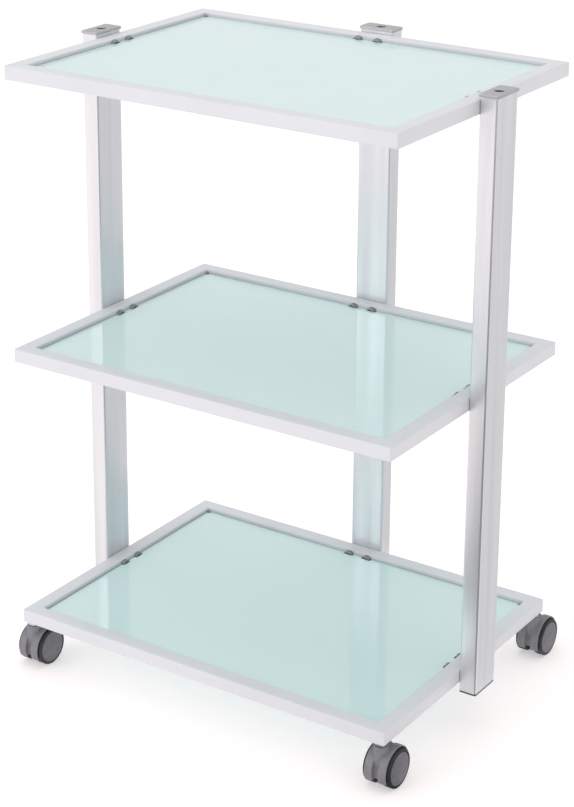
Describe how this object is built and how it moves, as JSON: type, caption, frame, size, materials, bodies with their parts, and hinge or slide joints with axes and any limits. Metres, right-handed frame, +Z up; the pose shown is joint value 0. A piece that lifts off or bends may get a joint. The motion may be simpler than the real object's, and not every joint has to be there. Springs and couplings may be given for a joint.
{
  "type": "rolling salon trolley",
  "caption": "Rolling salon trolley with glass shelves in white metal rims on side and rear posts, running on hooded swivel casters.",
  "frame": {"origin": "centre of the footprint's bounding box, on the floor under the wheels", "axes": "+Z up, +X along the long side of the shelves towards the right post, +Y towards the side with the rear post"},
  "size_m": [0.6102, 0.452, 0.8295],
  "materials": {
    "white_powder_coat": "satin white powder coat",
    "green_glass": "polished pale green tempered glass",
    "cushion_rubber": "matt dark grey rubber",
    "silver_post": "satin silver anodised",
    "grey_cap_metal": "satin grey",
    "foot_plug_plastic": "matt dark grey plastic",
    "dark_screw_steel": "dark blued steel",
    "hood_plastic": "fine-grained grey nylon",
    "wheel_plastic": "grey nylon with a dark tread",
    "bright_steel": "bright zinc-plated steel"
  },
  "bodies": {
    "trolley_frame": {"shelf_frame_bottom": "white_powder_coat", "shelf_frame_middle": "white_powder_coat", "shelf_frame_top": "white_powder_coat", "shelf_glass_bottom": "green_glass", "shelf_glass_middle": "green_glass", "shelf_glass_top": "green_glass", "glass_cushion_bottom": "cushion_rubber", "glass_cushion_middle": "cushion_rubber", "glass_cushion_top": "cushion_rubber", "post_left": "silver_post", "post_rear": "silver_post", "post_right": "silver_post", "post_cap_left": "grey_cap_metal", "post_cap_rear": "grey_cap_metal", "post_cap_right": "grey_cap_metal", "post_foot_plug_left": "foot_plug_plastic", "post_foot_plug_rear": "foot_plug_plastic", "post_foot_plug_right": "foot_plug_plastic", "screw_bottom_left_a": "dark_screw_steel", "screw_bottom_left_b": "dark_screw_steel", "screw_bottom_rear_a": "dark_screw_steel", "screw_bottom_rear_b": "dark_screw_steel", "screw_bottom_right_a": "dark_screw_steel", "screw_bottom_right_b": "dark_screw_steel", "screw_middle_left_a": "dark_screw_steel", "screw_middle_left_b": "dark_screw_steel", "screw_middle_rear_a": "dark_screw_steel", "screw_middle_rear_b": "dark_screw_steel", "screw_middle_right_a": "dark_screw_steel", "screw_middle_right_b": "dark_screw_steel", "screw_top_left_a": "dark_screw_steel", "screw_top_left_b": "dark_screw_steel", "screw_top_rear_a": "dark_screw_steel", "screw_top_rear_b": "dark_screw_steel", "screw_top_right_a": "dark_screw_steel", "screw_top_right_b": "dark_screw_steel", "caster_front_left_stem": "bright_steel", "caster_front_right_stem": "bright_steel", "caster_rear_right_stem": "bright_steel", "caster_rear_left_stem": "bright_steel"},
    "caster_front_left_swivel": {"caster_front_left_hood": "hood_plastic", "caster_front_left_axle": "bright_steel"},
    "caster_front_left_wheel_left": {"caster_front_left_wheel_left": "wheel_plastic"},
    "caster_front_left_wheel_right": {"caster_front_left_wheel_right": "wheel_plastic"},
    "caster_front_right_swivel": {"caster_front_right_hood": "hood_plastic", "caster_front_right_axle": "bright_steel"},
    "caster_front_right_wheel_left": {"caster_front_right_wheel_left": "wheel_plastic"},
    "caster_front_right_wheel_right": {"caster_front_right_wheel_right": "wheel_plastic"},
    "caster_rear_right_swivel": {"caster_rear_right_hood": "hood_plastic", "caster_rear_right_axle": "bright_steel"},
    "caster_rear_right_wheel_left": {"caster_rear_right_wheel_left": "wheel_plastic"},
    "caster_rear_right_wheel_right": {"caster_rear_right_wheel_right": "wheel_plastic"},
    "caster_rear_left_swivel": {"caster_rear_left_hood": "hood_plastic", "caster_rear_left_axle": "bright_steel"},
    "caster_rear_left_wheel_left": {"caster_rear_left_wheel_left": "wheel_plastic"},
    "caster_rear_left_wheel_right": {"caster_rear_left_wheel_right": "wheel_plastic"}
  },
  "joints": [
    {"name": "front_left_caster_swivel", "type": "hinge", "parent": "trolley_frame", "child": "caster_front_left_swivel", "pos_m": [-0.27, -0.212, 0.045], "axis": [0, 0, 1], "continuous": true},
    {"name": "front_left_caster_left_wheel_spin", "type": "hinge", "parent": "caster_front_left_swivel", "child": "caster_front_left_wheel_left", "pos_m": [-0.2834, -0.198, 0.025], "axis": [1, 0, 0], "continuous": true},
    {"name": "front_left_caster_right_wheel_spin", "type": "hinge", "parent": "caster_front_left_swivel", "child": "caster_front_left_wheel_right", "pos_m": [-0.2566, -0.198, 0.025], "axis": [1, 0, 0], "continuous": true},
    {"name": "front_right_caster_swivel", "type": "hinge", "parent": "trolley_frame", "child": "caster_front_right_swivel", "pos_m": [0.27, -0.212, 0.045], "axis": [0, 0, 1], "continuous": true},
    {"name": "front_right_caster_left_wheel_spin", "type": "hinge", "parent": "caster_front_right_swivel", "child": "caster_front_right_wheel_left", "pos_m": [0.2566, -0.198, 0.025], "axis": [1, 0, 0], "continuous": true},
    {"name": "front_right_caster_right_wheel_spin", "type": "hinge", "parent": "caster_front_right_swivel", "child": "caster_front_right_wheel_right", "pos_m": [0.2834, -0.198, 0.025], "axis": [1, 0, 0], "continuous": true},
    {"name": "rear_right_caster_swivel", "type": "hinge", "parent": "trolley_frame", "child": "caster_rear_right_swivel", "pos_m": [0.27, 0.184, 0.045], "axis": [0, 0, 1], "continuous": true},
    {"name": "rear_right_caster_left_wheel_spin", "type": "hinge", "parent": "caster_rear_right_swivel", "child": "caster_rear_right_wheel_left", "pos_m": [0.2566, 0.198, 0.025], "axis": [1, 0, 0], "continuous": true},
    {"name": "rear_right_caster_right_wheel_spin", "type": "hinge", "parent": "caster_rear_right_swivel", "child": "caster_rear_right_wheel_right", "pos_m": [0.2834, 0.198, 0.025], "axis": [1, 0, 0], "continuous": true},
    {"name": "rear_left_caster_swivel", "type": "hinge", "parent": "trolley_frame", "child": "caster_rear_left_swivel", "pos_m": [-0.27, 0.184, 0.045], "axis": [0, 0, 1], "continuous": true},
    {"name": "rear_left_caster_left_wheel_spin", "type": "hinge", "parent": "caster_rear_left_swivel", "child": "caster_rear_left_wheel_left", "pos_m": [-0.2834, 0.198, 0.025], "axis": [1, 0, 0], "continuous": true},
    {"name": "rear_left_caster_right_wheel_spin", "type": "hinge", "parent": "caster_rear_left_swivel", "child": "caster_rear_left_wheel_right", "pos_m": [-0.2566, 0.198, 0.025], "axis": [1, 0, 0], "continuous": true}
  ]
}
